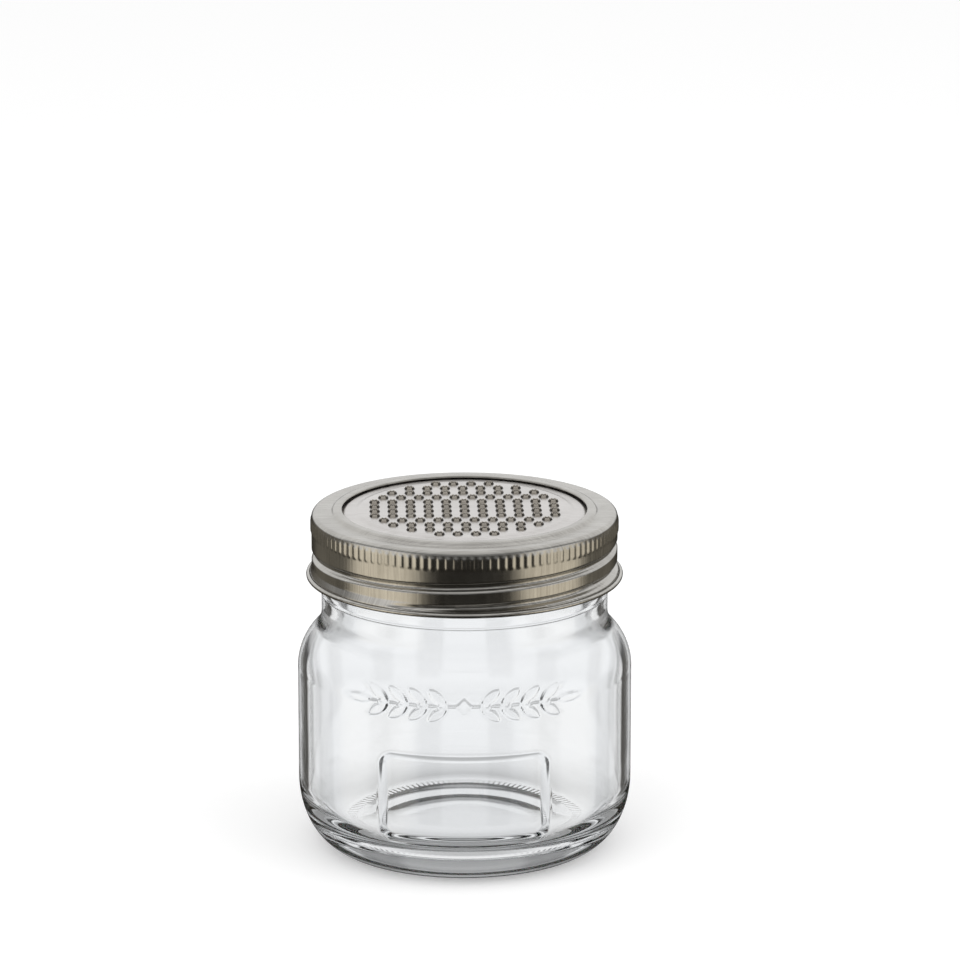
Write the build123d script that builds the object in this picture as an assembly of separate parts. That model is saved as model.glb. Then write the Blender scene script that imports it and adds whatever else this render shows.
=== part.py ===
from build123d import *
import math
import os

# A squat glass spice jar closed by a screw band that holds a fine grater disc.
# The origin is the centre of the base, +Z points up through the mouth and -Y is the front.
# All lengths are in millimetres and all angles in degrees.

# Glass body
body_radius = 40.0
body_wall = 3.2
rim_height = 80.1
shoulder_drop = 36.4
heel_reach = 10.8
heel_height = 16.6
shoulder_radius = 13.8
neck_blend_radius = 6.2
floor_thickness = 6.5
floor_corner_radius = 9.5
bearing_width = 2.7
push_up_rise = 1.8
push_up_flat_radius = 8.0

# Glass neck
neck_inset = 5.8
neck_wall = 3.8
rim_rounding = 0.9
seam_drop = 17.6
seam_relief = 0.25
neck_slice_drop = 19.1

# Flat panel sunk in the lower front
panel_width = 40.5
panel_bottom = 11.0
panel_drop = 11.9
panel_corner_radius = 3.4
panel_depth = 0.9

# Leafy ornament raised on the upper front
ornament_rise = 1.7
ornament_relief = 0.45
stem_length = 21.0
stem_width = 0.8
leaf_length = 6.2
leaf_width = 2.6
leaf_pitch = 4.6
leaf_pairs = 4
leaf_tilt = 38.0
diamond_width = 4.4

# Screw thread, right-handed: the glass carries a bead and the band a rolled ridge
thread_lead = 5.08
thread_play = 0.2
bead_relief = 1.5
bead_root_half = 1.25
bead_crest_half = 0.45
bead_turns = 1.5
ridge_front_drop = 8.8
ridge_engagement = 0.55
ridge_crest_half = 0.55
ridge_slope = 0.9
ridge_start_angle = -120.0
ridge_end_angle = 400.0
ridge_fade_angle = 30.0
thread_step_angle = 6.0

# Seal ring on the glass rim
seal_thickness = 1.0
seal_inner_gap = 0.2
seal_overhang = 1.2

# Grater disc
disc_thickness = 0.4
disc_overhang = 0.7
disc_step_rise = 0.4
disc_step_run = 0.6
plateau_inset = 3.9
plateau_rise = 0.35
plateau_run = 0.9
hole_pitch = 4.28
hole_row_pitch = 4.11
hole_field_inset = 1.7
hole_radius = 0.65
burr_root_radius = 1.32
burr_crest_radius = 0.9
burr_height = 0.6
disc_turn = 1.6

# Screw band
band_clearance = 0.5
band_sheet = 0.3
band_height = 15.8
band_shoulder_radius = 1.2
top_ring_width = 7.3
lip_rise = 0.8
lip_thickness = 0.6
lip_width = 1.4
lip_step_inset = 4.75
lip_step_run = 0.45
flute_pitch = 1.89
flute_depth = 0.22
flute_top_drop = 1.0
flute_bottom_drop = 4.7
flare_drop = 12.8
flare_reach = 0.45
curl_radius = 0.6
curl_gap = 0.15

# A cut runs this far past the faces it opens, and a fused piece reaches this far into its carrier
overrun = 1.0
embed = 0.15

front_angle = -90.0
full_turn = 360.0

# Heights that follow from the rim down the glass
straight_wall_top = rim_height - shoulder_drop
seam_height = rim_height - seam_drop
neck_slice_height = rim_height - neck_slice_drop
ornament_height = straight_wall_top + ornament_rise
panel_top = ornament_height - panel_drop

# Heights that follow from the stack on the glass rim
disc_underside = rim_height + seal_thickness
disc_flange_top = disc_underside + disc_thickness
band_top = disc_flange_top + band_sheet
disc_panel_top = disc_flange_top + disc_step_rise
plateau_top = disc_panel_top + plateau_rise
flare_top = band_top - flare_drop
curl_height = band_top - band_height + curl_radius
crease_height = curl_height + curl_radius + curl_gap

# Radii that follow from the body to the neck, and from the neck's bead to the band
neck_radius = body_radius - neck_inset
mouth_radius = neck_radius - neck_wall
bead_crest_radius = neck_radius + bead_relief
ridge_crest_radius = bead_crest_radius - ridge_engagement
band_bore_radius = bead_crest_radius + band_clearance
band_radius = band_bore_radius + band_sheet
flare_radius = band_radius + flare_reach
lip_radius = band_radius - top_ring_width
lip_step_radius = band_radius - lip_step_inset
seal_radius = neck_radius + seal_overhang
disc_radius = neck_radius + disc_overhang
plateau_radius = lip_radius - plateau_inset
hole_field_radius = plateau_radius - hole_field_inset


def bead_half(radius):
    """Half the height of the glass bead at a radius."""
    share = (radius - neck_radius) / bead_relief
    return bead_root_half + share * (bead_crest_half - bead_root_half)


def ridge_half(radius):
    """Half the height of the band's ridge at a radius."""
    return ridge_crest_half + ridge_slope * (radius - ridge_crest_radius)


def on_section(curves):
    """A face in the XZ plane from curves drawn as (radius, height)."""
    return Plane.XZ * make_face(curves)


def turned(curves):
    """The solid of revolution about the Z axis of a closed outline."""
    return revolve(on_section(curves), axis=Axis.Z)


def shoulder_curves(wall_radius, low_radius, high_radius, throat_radius):
    """The outward curve from the straight wall and the inward curve up to the throat."""
    reach = throat_radius + high_radius - wall_radius + low_radius
    sweep_angle = math.degrees(math.acos(reach / (low_radius + high_radius)))
    low = JernArc((wall_radius, straight_wall_top), (0, 1), low_radius, sweep_angle)
    high = JernArc(low @ 1, low % 1, high_radius, -sweep_angle)
    return low, high


def glass_outside(inset):
    """The outer outline set in by a length, from the heel up to the neck."""
    heel = EllipticalCenterArc(
        (body_radius - heel_reach, heel_height),
        heel_reach - inset,
        heel_height - inset,
        start_angle=-full_turn / 4,
        arc_size=full_turn / 4,
    )
    low, high = shoulder_curves(
        body_radius - inset,
        shoulder_radius - inset,
        neck_blend_radius + inset,
        neck_radius - inset,
    )
    return [heel, Line(heel @ 1, low @ 0), low, high]


def glass_block(inset):
    """A solid block of the glass's outer shape, set in by a length and cut off at the rim."""
    outline = glass_outside(inset)
    top = (neck_radius - inset, rim_height)
    closing = Polyline(outline[-1] @ 1, top, (0, rim_height), (0, inset), outline[0] @ 0)
    return turned(outline + [closing])


def glass_shell():
    """The jar's turned body: heel, wall, shoulder, neck, rim, inside and pushed-up base."""
    outside = glass_outside(0)
    bearing_radius = body_radius - heel_reach - bearing_width
    middle = Line((0, push_up_rise), (push_up_flat_radius, push_up_rise))
    push_up = TangentArc(middle @ 1, (bearing_radius, 0), tangent=(1, 0))
    bearing = Line(push_up @ 1, outside[0] @ 0)
    rim_edge = rim_height - rim_rounding
    neck = Line(outside[-1] @ 1, (neck_radius, rim_edge))
    outer_round = JernArc(neck @ 1, (0, 1), rim_rounding, full_turn / 4)
    land = Line(outer_round @ 1, (mouth_radius + rim_rounding, rim_height))
    inner_round = JernArc(land @ 1, (-1, 0), rim_rounding, full_turn / 4)
    low, high = shoulder_curves(
        body_radius - body_wall,
        shoulder_radius - body_wall,
        neck_blend_radius + body_wall,
        mouth_radius,
    )
    throat = Line(inner_round @ 1, high @ 1)
    inside_radius = body_radius - body_wall
    floor_edge = JernArc(
        (inside_radius - floor_corner_radius, floor_thickness),
        (1, 0),
        floor_corner_radius,
        full_turn / 4,
    )
    inner_wall = Line(low @ 0, floor_edge @ 1)
    floor = Line(floor_edge @ 0, (0, floor_thickness))
    axis_line = Line(floor @ 1, (0, push_up_rise))
    curves = [middle, push_up, bearing] + outside + [neck, outer_round, land, inner_round, throat]
    curves += [high, low, inner_wall, floor_edge, floor, axis_line]
    return turned(curves)


def thread_height(angle, front_height):
    """The height at an angle of a right-hand thread that passes the front at a height."""
    return front_height + (angle - front_angle) * thread_lead / full_turn


def thread_bar(sizes, front_height, start, end):
    """A bar along the thread whose trapezium section fades to a point at both ends.

    The sizes are the root radius, the crest radius and half the height at each.
    """
    root, crest, root_half, crest_half = sizes
    sections = []
    steps = round((end - start) / thread_step_angle)
    for index in range(steps + 1):
        angle = start + (end - start) * index / steps
        fade = min(1, (angle - start) / ridge_fade_angle, (end - angle) / ridge_fade_angle)
        height = thread_height(angle, front_height)
        place = Plane(
            origin=(0, 0, height),
            x_dir=(math.cos(math.radians(angle)), math.sin(math.radians(angle)), 0),
            z_dir=(math.sin(math.radians(angle)), -math.cos(math.radians(angle)), 0),
        )
        if index in (0, steps):
            sections.append(Vertex(*place.from_local_coords((root, 0, 0))))
            continue
        tip = root + (crest - root) * fade
        points = [(root, -root_half * fade), (tip, -crest_half * fade)]
        points += [(tip, crest_half * fade), (root, root_half * fade)]
        sections.append(place * make_face(Polyline(*points, close=True)))
    return loft(sections, ruled=True)


def panel_recess():
    """What the front panel takes away: an even depth of the wall inside a rounded rectangle."""
    middle = (panel_bottom + panel_top) / 2
    outline = RectangleRounded(panel_width, panel_top - panel_bottom, panel_corner_radius)
    prism = extrude(Plane.XZ * Pos(0, middle) * outline, body_radius + overrun)
    return prism - glass_block(panel_depth)


def leaf():
    """A pointed leaf along +X from the origin, bounded by two arcs."""
    tip = (leaf_length, 0)
    upper = ThreePointArc((0, 0), (leaf_length / 2, leaf_width / 2), tip)
    lower = ThreePointArc(tip, (leaf_length / 2, -leaf_width / 2), (0, 0))
    return make_face([upper, lower])


def sprig():
    """A stem with pairs of leaves and one more leaf at its tip, along +X."""
    shape = Pos(stem_length / 2, 0) * Rectangle(stem_length, stem_width)
    shape += Pos(stem_length - stem_width, 0) * leaf()
    first = stem_length - leaf_pairs * leaf_pitch
    for index in range(leaf_pairs):
        for side in (-1, 1):
            shape += Pos(first + index * leaf_pitch, 0) * Rot(0, 0, side * leaf_tilt) * leaf()
    return shape


def ornament():
    """Two sprigs either side of a diamond, following the glass at an even relief."""
    start = diamond_width / 2
    drawing = Rot(0, 0, full_turn / 8) * Rectangle(start * math.sqrt(2), start * math.sqrt(2))
    drawing += Pos(start / 2, 0) * sprig()
    drawing += Pos(-start / 2, 0) * Rot(0, 0, full_turn / 2) * sprig()
    prism = extrude(Plane.XZ * Pos(0, ornament_height) * drawing, body_radius + overrun)
    return (prism & glass_block(-ornament_relief)) - glass_block(embed)


def glass_jar():
    """The glass with its panel, ornament, seam and thread bead."""
    jar = glass_shell() - panel_recess()
    jar += ornament()
    seam_ring = Circle(seam_relief * 2)
    jar += revolve(Plane.XZ * Pos(neck_radius - seam_relief, seam_height) * seam_ring, axis=Axis.Z)
    ridge_front = band_top - ridge_front_drop
    flank_gap = bead_crest_half + ridge_half(bead_crest_radius) + thread_play
    bead_front = ridge_front + flank_gap - thread_lead
    root = neck_radius - embed
    sizes = (root, bead_crest_radius, bead_half(root), bead_crest_half)
    start = front_angle
    jar += thread_bar(sizes, bead_front, start, start + bead_turns * full_turn)
    return jar


def glass_slices():
    """The one glass piece in five level slices that meet face to face, by name from the base up."""
    names = ["glass_base", "glass_heel", "glass_wall", "glass_shoulder", "glass_neck"]
    levels = [-overrun, floor_thickness, heel_height, straight_wall_top, neck_slice_height]
    levels.append(rim_height + overrun)
    jar = glass_jar()
    across = (body_radius + overrun) * 2
    slices = {}
    for name, low, high in zip(names, levels, levels[1:]):
        room = Box(across, across, high - low, align=(Align.CENTER, Align.CENTER, Align.MIN))
        slices[name] = jar & (Pos(0, 0, low) * room)
    return slices


def seal_ring():
    """The flat ring between the glass rim and the disc, held in the band above its ridge."""
    outer = Circle(seal_radius)
    inner = Circle(mouth_radius + seal_inner_gap)
    return Pos(0, 0, rim_height) * extrude(outer - inner, seal_thickness)


def hole_places():
    """The centres of the holes: centred rows, each as long as the round field allows."""
    places = []
    row_count = math.floor(2 * hole_field_radius / hole_row_pitch) + 1
    for row in range(row_count):
        across = (row - (row_count - 1) / 2) * hole_row_pitch
        half_chord = math.sqrt(hole_field_radius**2 - across**2)
        count = math.floor(2 * half_chord / hole_pitch) + 1
        for column in range(count):
            along = (column - (count - 1) / 2) * hole_pitch
            places.append((along, across))
    return places


def grater_disc():
    """The pressed disc: a low flange, a raised panel and a plateau of holes with burrs."""
    step_outer = lip_step_radius - band_sheet - lip_step_run
    upper = [
        (0, plateau_top),
        (plateau_radius, plateau_top),
        (plateau_radius + plateau_run, disc_panel_top),
        (step_outer - disc_step_run, disc_panel_top),
        (step_outer, disc_flange_top),
        (disc_radius, disc_flange_top),
    ]
    lower = [(radius, height - disc_thickness) for radius, height in reversed(upper)]
    disc = turned([Polyline(*upper, *lower, close=True)])
    burr = Cone(
        burr_root_radius,
        burr_crest_radius,
        burr_height + embed,
        align=(Align.CENTER, Align.CENTER, Align.MIN),
    )
    drill = Cylinder(hole_radius, disc_thickness + burr_height + overrun * 2)
    places = hole_places()
    disc += [Pos(x, y, plateau_top - embed) * burr for x, y in places]
    disc -= [Pos(x, y, plateau_top) * drill for x, y in places]
    return Rot(0, 0, disc_turn) * disc


def band_shell():
    """The band's pressed sheet: folded lip, stepped top, rounded shoulder, wall and rolled curl."""
    lip_top = band_top + lip_rise
    lip_under = lip_top - lip_thickness
    step_inner = lip_step_radius - lip_step_run
    inner_shoulder = band_shoulder_radius - band_sheet
    bore_flare = flare_radius - band_sheet
    curl_center = bore_flare + curl_radius
    crease_drop = math.sqrt(curl_radius**2 - (curl_center - flare_radius) ** 2)
    lip = ThreePointArc(
        (lip_radius + lip_thickness / 2, lip_top),
        (lip_radius, (lip_top + lip_under) / 2),
        (lip_radius + lip_thickness / 2, lip_under),
    )
    under = Polyline(
        lip @ 1,
        (lip_radius + lip_width, lip_under),
        (lip_radius + lip_width, lip_top - band_sheet),
        (step_inner - band_sheet, lip_top - band_sheet),
        (lip_step_radius - band_sheet, band_top - band_sheet),
        (band_bore_radius - inner_shoulder, band_top - band_sheet),
    )
    inner_round = JernArc(under @ 1, (1, 0), inner_shoulder, -full_turn / 4)
    bore = Polyline(
        inner_round @ 1,
        (band_bore_radius, flare_top),
        (bore_flare, crease_height),
        (bore_flare, curl_height),
    )
    curl_angle = math.degrees(math.atan2(crease_drop, flare_radius - curl_center))
    curl = CenterArc((curl_center, curl_height), curl_radius, -full_turn / 2, full_turn / 2 + curl_angle)
    wall = Polyline(
        curl @ 1,
        (flare_radius, crease_height),
        (band_radius, flare_top),
        (band_radius, band_top - band_shoulder_radius),
    )
    outer_round = JernArc(wall @ 1, (0, 1), band_shoulder_radius, full_turn / 4)
    top = Polyline(
        outer_round @ 1,
        (lip_step_radius, band_top),
        (step_inner, lip_top),
        lip @ 0,
    )
    return turned([lip, under, inner_round, bore, curl, wall, outer_round, top])


def flute_ring():
    """The knurled belt: round-bottomed flutes between narrow lands, standing off the wall."""
    tip_radius = band_radius + flute_depth
    belt_height = flute_bottom_drop - flute_top_drop
    flute_count = round(math.pi * tip_radius * 2 / flute_pitch)
    half_flute = math.pi * tip_radius / flute_count / 2
    cutter_radius = (half_flute**2 + flute_depth**2) / (flute_depth * 2)
    cutter_place = tip_radius + cutter_radius - flute_depth
    ring = extrude(Circle(tip_radius) - Circle(band_radius - band_sheet / 2), belt_height)
    cutter = Pos(cutter_place, 0, belt_height / 2) * Cylinder(cutter_radius, belt_height + overrun * 2)
    step_angle = full_turn / flute_count
    ring -= [Rot(0, 0, (index + 1 / 2) * step_angle) * cutter for index in range(flute_count)]
    return Pos(0, 0, band_top - flute_bottom_drop) * ring


def band_block(inset):
    """A filled block of the band's wall, set in by a length, from the curl up to the shoulder."""
    shoulder_height = band_top - band_shoulder_radius
    corners = [
        (0, curl_height),
        (flare_radius - inset, curl_height),
        (flare_radius - inset, crease_height),
        (band_radius - inset, flare_top),
        (band_radius - inset, shoulder_height),
        (0, shoulder_height),
    ]
    return turned([Polyline(*corners, close=True)])


def screw_band():
    """The band with its knurled belt and its rolled thread: a groove outside, a ridge inside."""
    front_start = band_top - ridge_front_drop - thread_lead
    ridge_sizes = (flare_radius, ridge_crest_radius, ridge_half(flare_radius), ridge_crest_half)
    ridge = thread_bar(ridge_sizes, front_start, ridge_start_angle, ridge_end_angle)
    mouth_edge = flare_radius + band_sheet
    groove_floor = ridge_crest_radius + band_sheet
    groove_sizes = (
        mouth_edge,
        groove_floor,
        ridge_half(mouth_edge) - band_sheet,
        ridge_half(groove_floor) - band_sheet,
    )
    groove = thread_bar(groove_sizes, front_start, ridge_start_angle, ridge_end_angle)
    groove_room = Pos(0, 0, crease_height) * Cylinder(
        band_radius + overrun,
        band_height,
        align=(Align.CENTER, Align.CENTER, Align.MIN),
    )
    ridge_in_wall = ridge & band_block(band_sheet / 2)
    return band_shell() + flute_ring() + ridge_in_wall - (groove & groove_room)


os.makedirs("parts", exist_ok=True)
for slice_name, glass_slice in glass_slices().items():
    export_step(glass_slice, f"parts/{slice_name}.step")
export_step(seal_ring(), "parts/seal_ring.step")
export_step(grater_disc(), "parts/grater_disc.step")
export_step(screw_band(), "parts/screw_band.step")
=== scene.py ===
"""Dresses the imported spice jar: pressed glass, a rolled screw band and a punched grater disc."""

import logging
import math
from collections.abc import Sequence
from dataclasses import dataclass
from enum import Enum

import bpy
import numpy as np
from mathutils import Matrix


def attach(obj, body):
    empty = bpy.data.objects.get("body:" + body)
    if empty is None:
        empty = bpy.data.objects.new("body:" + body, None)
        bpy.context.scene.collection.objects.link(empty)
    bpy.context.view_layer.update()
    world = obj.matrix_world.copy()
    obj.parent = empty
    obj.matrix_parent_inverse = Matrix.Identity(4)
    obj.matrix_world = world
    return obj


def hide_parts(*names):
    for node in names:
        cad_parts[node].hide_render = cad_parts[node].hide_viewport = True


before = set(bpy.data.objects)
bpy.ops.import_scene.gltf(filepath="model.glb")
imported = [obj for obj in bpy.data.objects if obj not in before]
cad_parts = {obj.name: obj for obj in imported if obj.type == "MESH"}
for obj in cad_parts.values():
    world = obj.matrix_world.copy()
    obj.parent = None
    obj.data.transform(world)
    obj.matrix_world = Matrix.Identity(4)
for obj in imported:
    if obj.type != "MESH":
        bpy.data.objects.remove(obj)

log = logging.getLogger("spice_jar")

MM = 0.001
IMAGE_WIDTH = 960
SENSOR = 36.0
FULL_TURN = 2 * math.pi
FRONT = -math.pi / 2
FRONT_DEG = -90.0
# Points of a turned piece that lie closer together than this are one point.
WELD = 0.002 * MM
GLASS_SOLIDS = ("glass_base", "glass_heel", "glass_wall", "glass_shoulder", "glass_neck")

Point = tuple[float, float]
Triple = tuple[float, float, float]
Colour = tuple[float, float, float, float]
Settings = dict[str | int, object]
Links = dict[str | int, bpy.types.NodeSocket]


class Body(Enum):
    """The moving bodies of the frame that a piece can ride on."""

    JAR = "jar"
    INSERT = "insert"
    BAND = "band"


class Slot(Enum):
    """The names of the record's material slots that belong to the new pieces."""

    GLASS = "clear_glass"
    DISC = "disc_steel"
    BAND = "band_steel"


def linear(hex_colour: str) -> Colour:
    """Turns an sRGB hex colour into a linear one.

    Args:
        hex_colour: the colour as "#RRGGBB".

    Returns:
        The linear red, green and blue, and an alpha of 1.
    """
    shares = [int(hex_colour[i : i + 2], 16) / 255 for i in (1, 3, 5)]
    # These numbers are the sRGB standard's own.
    bent = [s / 12.92 if s <= 0.04045 else ((s + 0.055) / 1.055) ** 2.4 for s in shares]
    return (bent[0], bent[1], bent[2], 1.0)


def add_node(
    tree: bpy.types.NodeTree, kind: str, settings: Settings, links: Links
) -> bpy.types.Node:
    """Adds a node with its settings and the links into it.

    Args:
        tree: the node tree that gets the node.
        kind: the node's type name.
        settings: values by property name, or by input name or number for a socket.
        links: output sockets by the name or number of the input that they feed.

    Returns:
        The new node.
    """
    node = tree.nodes.new(kind)
    for key, value in settings.items():
        if isinstance(key, str) and hasattr(node, key):
            setattr(node, key, value)
        else:
            node.inputs[key].default_value = value
    for key, socket in links.items():
        tree.links.new(socket, node.inputs[key])
    return node


def ramp_stops(node: bpy.types.Node, stops: Sequence[tuple[float, Colour]]) -> None:
    """Gives a colour ramp its two stops.

    Args:
        node: the colour ramp.
        stops: the place and colour of each stop.
    """
    for element, (place, colour) in zip(node.color_ramp.elements, stops):
        element.position = place
        element.color = colour


def empty_material(name: str) -> bpy.types.Material:
    """Starts a material whose node tree holds nothing yet.

    Args:
        name: the material's name.

    Returns:
        The material.
    """
    material = bpy.data.materials.new(name)
    material.use_nodes = True
    material.node_tree.nodes.clear()
    return material


def smooth_share(share: np.ndarray) -> np.ndarray:
    """Eases a share from 0 to 1 with level ends."""
    held = np.clip(share, 0, 1)
    return held * held * (3 - 2 * held)


def deselect_everything() -> None:
    """Leaves object mode with nothing selected."""
    if bpy.context.object and bpy.context.object.mode != "OBJECT":
        bpy.ops.object.mode_set(mode="OBJECT")
    bpy.ops.object.select_all(action="DESELECT")


def select_only(piece: bpy.types.Object) -> None:
    """Selects one object and makes it the active one.

    Args:
        piece: the object.
    """
    deselect_everything()
    piece.select_set(True)
    bpy.context.view_layer.objects.active = piece


def points_of(piece: bpy.types.Object) -> np.ndarray:
    """Reads the places of a piece's points.

    Args:
        piece: the object.

    Returns:
        Rows of x, y and z in metres.
    """
    places = np.empty(len(piece.data.vertices) * 3, np.float32)
    piece.data.vertices.foreach_get("co", places)
    return places.reshape(-1, 3).astype(float)


def normals_of(piece: bpy.types.Object) -> np.ndarray:
    """Reads the outward direction at each of a piece's points.

    Args:
        piece: the object.

    Returns:
        Rows of x, y and z, each of length 1.
    """
    directions = np.empty(len(piece.data.vertices) * 3, np.float32)
    piece.data.vertex_normals.foreach_get("vector", directions)
    return directions.reshape(-1, 3).astype(float)


def move_points(piece: bpy.types.Object, places: np.ndarray) -> None:
    """Gives the piece's points new places, in metres."""
    piece.data.vertices.foreach_set("co", places.astype(np.float32).ravel())
    piece.data.update()


def shade_by_angle(piece: bpy.types.Object, degrees: float) -> None:
    """Shades a piece smooth, apart from edges sharper than an angle."""
    select_only(piece)
    bpy.ops.object.shade_smooth_by_angle(angle=math.radians(degrees))


def apply_modifier(piece: bpy.types.Object, kind: str, settings: dict[str, object]) -> None:
    """Adds a modifier with its settings and applies it.

    Args:
        piece: the object that gets it.
        kind: the modifier's type.
        settings: values by property name.
    """
    select_only(piece)
    modifier = piece.modifiers.new(kind.title(), kind)
    for key, value in settings.items():
        setattr(modifier, key, value)
    bpy.ops.object.modifier_apply(modifier=modifier.name)


class Outline:
    """A profile of radius and height in millimetres, drawn in runs and arcs of even steps."""

    # An arc leaves out a point that is nearer to the last one than this share of a step.
    SAME_POINT = 0.02

    def __init__(self, start: Point) -> None:
        """Starts the profile at a point."""
        self.points: list[Point] = [start]

    def run(self, end: Point, step: float) -> "Outline":
        """Adds a straight run.

        Args:
            end: where the run ends.
            step: the longest distance between two points.

        Returns:
            The outline itself.
        """
        start = self.points[-1]
        count = max(1, math.ceil(math.dist(start, end) / step))
        for index in range(1, count + 1):
            share = index / count
            self.points.append(tuple(a + (b - a) * share for a, b in zip(start, end)))
        return self

    def arc(self, centre: Point, radii: Point, angles: Point, step: float) -> "Outline":
        """Adds an arc of a circle or an ellipse.

        Args:
            centre: the arc's centre.
            radii: its half widths along the radius and the height.
            angles: its first and last angle in degrees.
            step: the longest distance between two points.

        Returns:
            The outline itself.
        """
        sweep = math.radians(abs(angles[1] - angles[0]))
        count = max(2, math.ceil(sweep * max(radii) / step))
        for index in range(count + 1):
            turn = math.radians(angles[0] + (angles[1] - angles[0]) * index / count)
            place = (centre[0] + radii[0] * math.cos(turn), centre[1] + radii[1] * math.sin(turn))
            if math.dist(place, self.points[-1]) > step * self.SAME_POINT:
                self.points.append(place)
        return self

    def shoulder(self, wall_top: float, radii: Sequence[float], step: float) -> "Outline":
        """Adds a wall's outward curve and the inward curve up to the throat.

        Args:
            wall_top: the height at which the straight wall ends.
            radii: those of the wall, the outward curve, the inward curve and the throat.
            step: the longest distance between two points.

        Returns:
            The outline itself.
        """
        wall, low, high, throat = radii
        turn = math.acos((throat + high - wall + low) / (low + high))
        low_centre = (wall - low, wall_top)
        high_centre = (
            low_centre[0] + (low + high) * math.cos(turn),
            low_centre[1] + (low + high) * math.sin(turn),
        )
        degrees = math.degrees(turn)
        self.arc(low_centre, (low, low), (0, degrees), step)
        return self.arc(high_centre, (high, high), (180 + degrees, 180), step)


def turn_outline(
    name: str,
    points: Sequence[Point],
    sectors: Sequence[tuple[float, int]],
    start: float,
) -> bpy.types.Object:
    """Turns a profile about the jar's axis, as on a lathe.

    Args:
        name: the piece's name.
        points: the profile as radius and height in millimetres.
        sectors: angles in radians, each with its number of steps, that add up to a full turn.
        start: the angle at which the first sector starts.

    Returns:
        The turned piece, with its seam and poles closed.
    """
    deselect_everything()
    bpy.ops.mesh.primitive_plane_add(size=MM)
    piece = bpy.context.object
    piece.name = piece.data.name = name
    bpy.ops.object.mode_set(mode="EDIT")
    bpy.ops.mesh.merge(type="CENTER")
    places = [(r * MM * math.cos(start), r * MM * math.sin(start), z * MM) for r, z in points]
    bpy.ops.transform.translate(value=places[0])
    for old, new in zip(places, places[1:]):
        step = tuple(b - a for a, b in zip(old, new))
        bpy.ops.mesh.extrude_vertices_move(TRANSFORM_OT_translate={"value": step})
    bpy.ops.mesh.select_all(action="SELECT")
    for angle, steps in sectors:
        bpy.ops.mesh.spin(steps=steps, angle=angle, center=(0, 0, 0), axis=(0, 0, -1))
    bpy.ops.mesh.select_all(action="SELECT")
    bpy.ops.mesh.remove_doubles(threshold=WELD)
    bpy.ops.mesh.normals_make_consistent(inside=False)
    bpy.ops.object.mode_set(mode="OBJECT")
    return piece


@dataclass(frozen=True)
class Thread:
    """The right-hand screw thread that the glass bead and the band's groove share, in mm."""

    lead: float = 5.08
    # The full turns, counted from the front, on which an angle can meet the thread's line.
    passes: tuple[int, ...] = (-1, 0, 1, 2)

    def offset(
        self, angles: np.ndarray, heights: np.ndarray, front: float, reach: Point, fade: float
    ) -> tuple[np.ndarray, np.ndarray]:
        """Finds how far points lie above the thread's line.

        Args:
            angles: the points' angles in degrees.
            heights: their heights in mm.
            front: the height at which the line first passes the front.
            reach: the first and last angle of the line in degrees.
            fade: the angle over which each end fades out.

        Returns:
            The height above the nearest turn, and the share of the full form there.
        """
        nearest = np.full(len(angles), np.inf)
        share = np.zeros(len(angles))
        for turns in self.passes:
            along = angles + 360 * turns
            away = heights - (front + (along - FRONT_DEG) * self.lead / 360)
            here = np.minimum((along - reach[0]) / fade, (reach[1] - along) / fade)
            closer = (here > 0) & (np.abs(away) < np.abs(nearest))
            nearest[closer] = away[closer]
            share[closer] = np.clip(here[closer], 0, 1)
        return nearest, share


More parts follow.
